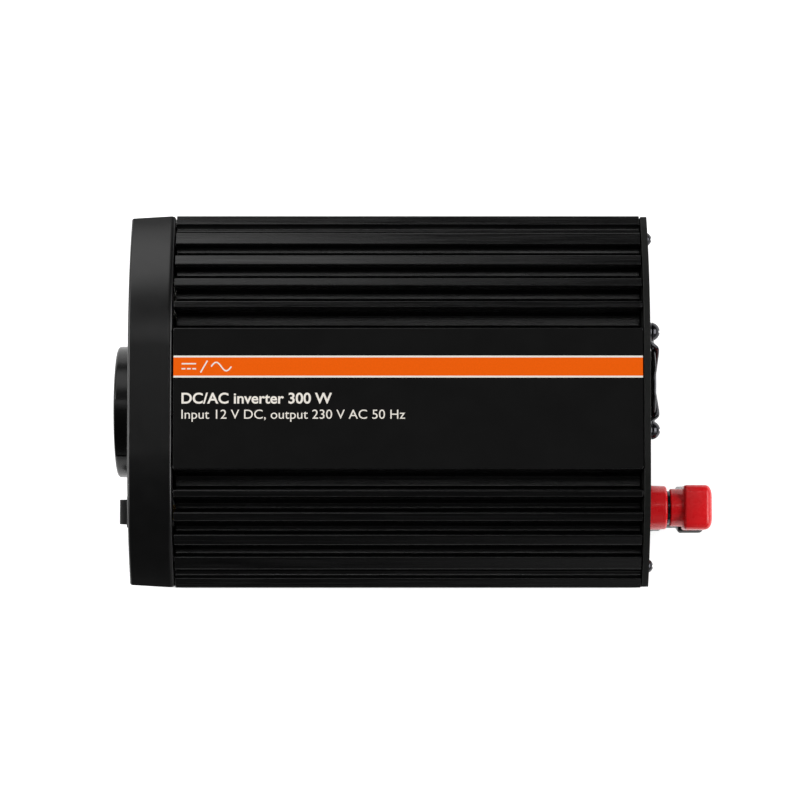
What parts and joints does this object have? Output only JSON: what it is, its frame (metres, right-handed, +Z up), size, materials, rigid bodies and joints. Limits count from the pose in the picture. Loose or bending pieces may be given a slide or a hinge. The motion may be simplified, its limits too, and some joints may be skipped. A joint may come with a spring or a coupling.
{
  "type": "power inverter",
  "caption": "Compact finned power inverter with a round mains socket and rocker switch at one end, and a guarded fan and two binding posts at the other.",
  "frame": {"origin": "centre of the footprint, at the soles of the feet", "axes": "+X along the case from the socket end to the terminal end, +Y across, +Z up"},
  "size_m": [0.1928, 0.12, 0.06],
  "materials": {
    "case_black": "black powder coat on extruded aluminium, satin",
    "end_cap_plastic": "moulded black plastic, satin",
    "rear_plate_black": "fine black paint, matt",
    "label_film": "printed film, satin, with an orange stripe",
    "foot_rubber": "black rubber",
    "screw_black": "black oxide, semi-gloss",
    "socket_plastic": "moulded black plastic, fine texture",
    "brass": "plain brass",
    "spring_steel": "bright spring steel",
    "rocker_plastic": "black, lightly textured",
    "nickel": "nickel plated",
    "white_plastic": "white moulded plastic",
    "circuit_board": "green solder mask",
    "lamp_green": "tinted clear lens",
    "lamp_red": "tinted clear lens",
    "copper": "enamelled copper",
    "guard_wire": "dark plated wire, glossy",
    "zinc_steel": "zinc plated",
    "post_red": "moulded red plastic, glossy",
    "post_black": "moulded black plastic, glossy",
    "fibre_washer": "pressed fibre",
    "ferrite": "dark sintered ferrite",
    "bobbin_plastic": "moulded black plastic",
    "winding_tape": "yellow polyester tape",
    "capacitor_sleeve": "shrink sleeve",
    "core_paint": "yellow core paint",
    "bar_aluminium": "mill finish",
    "fuse_plastic": "tinted blue plastic",
    "lead_red": "red insulation",
    "lead_black": "black insulation",
    "lead_grey": "grey insulation"
  },
  "bodies": {
    "root": {"top_shell": "case_black", "bottom_cover": "case_black", "front_panel": "end_cap_plastic", "rear_panel": "rear_plate_black", "label_plate": "label_film", "rubber_feet": "foot_rubber", "rear_gasket": "foot_rubber", "front_panel_screws": "screw_black", "rear_panel_screws": "screw_black", "socket_housing": "socket_plastic", "socket_contacts": "brass", "earth_clips": "spring_steel", "socket_clamp_ring": "end_cap_plastic", "switch_frame": "end_cap_plastic", "switch_terminals": "brass", "usb_shell": "nickel", "usb_tongue": "white_plastic", "usb_board": "circuit_board", "power_led": "lamp_green", "fault_led": "lamp_red", "fan_frame": "end_cap_plastic", "fan_bearing": "brass", "fan_stator": "copper", "fan_guard": "guard_wire", "fan_screws": "screw_black", "fan_nuts": "zinc_steel", "red_terminal_base": "post_red", "black_terminal_base": "post_black", "terminal_studs": "brass", "terminal_insulators": "fibre_washer", "terminal_nuts": "zinc_steel", "ring_lugs": "zinc_steel", "main_pcb": "circuit_board", "pcb_screws": "zinc_steel", "transformer_core": "ferrite", "transformer_bobbin": "bobbin_plastic", "transformer_winding": "winding_tape", "input_capacitors": "capacitor_sleeve", "output_capacitor": "capacitor_sleeve", "choke_core": "core_paint", "choke_winding": "copper", "mosfets": "bobbin_plastic", "heat_bars": "bar_aluminium", "mosfet_clips": "spring_steel", "fuses": "fuse_plastic", "buzzer": "bobbin_plastic", "control_board": "circuit_board", "dc_lead_red": "lead_red", "dc_lead_black": "lead_black", "ac_leads": "lead_grey", "switch_leads": "lead_grey", "fan_lead": "lead_red"},
    "rocker": {"switch_rocker": "rocker_plastic"},
    "fan_rotor": {"fan_rotor": "end_cap_plastic"},
    "red_washer": {"red_clamp_washer": "screw_black"},
    "red_knob": {"red_terminal_knob": "post_red", "red_knob_insert": "brass"},
    "black_washer": {"black_clamp_washer": "screw_black"},
    "black_knob": {"black_terminal_knob": "post_black", "black_knob_insert": "brass"}
  },
  "joints": [
    {"name": "rocker_tilt", "type": "hinge", "parent": "root", "child": "rocker", "pos_m": [-0.0911, -0.0354, 0.03], "axis": [0, 1, 0], "range_deg": [0, 20]},
    {"name": "fan_spin", "type": "hinge", "parent": "root", "child": "fan_rotor", "pos_m": [0.06815, 0.0069, 0.02375], "axis": [1, 0, 0], "continuous": true},
    {"name": "red_knob_travel", "type": "slide", "parent": "root", "child": "red_washer", "axis": [1, 0, 0], "range_m": [0, 0.004]},
    {"name": "red_knob_turn", "type": "hinge", "parent": "red_washer", "child": "red_knob", "pos_m": [0.09, -0.0341, 0.038], "axis": [1, 0, 0], "range_deg": [0, 1440]},
    {"name": "black_knob_travel", "type": "slide", "parent": "root", "child": "black_washer", "axis": [1, 0, 0], "range_m": [0, 0.004]},
    {"name": "black_knob_turn", "type": "hinge", "parent": "black_washer", "child": "black_knob", "pos_m": [0.09, -0.0341, 0.015], "axis": [1, 0, 0], "range_deg": [0, 1440]}
  ],
  "couplings": [
    {"joint": "red_knob_travel", "follows": "red_knob_turn", "m_per_rad": 0.000159},
    {"joint": "black_knob_travel", "follows": "black_knob_turn", "m_per_rad": 0.000159}
  ]
}
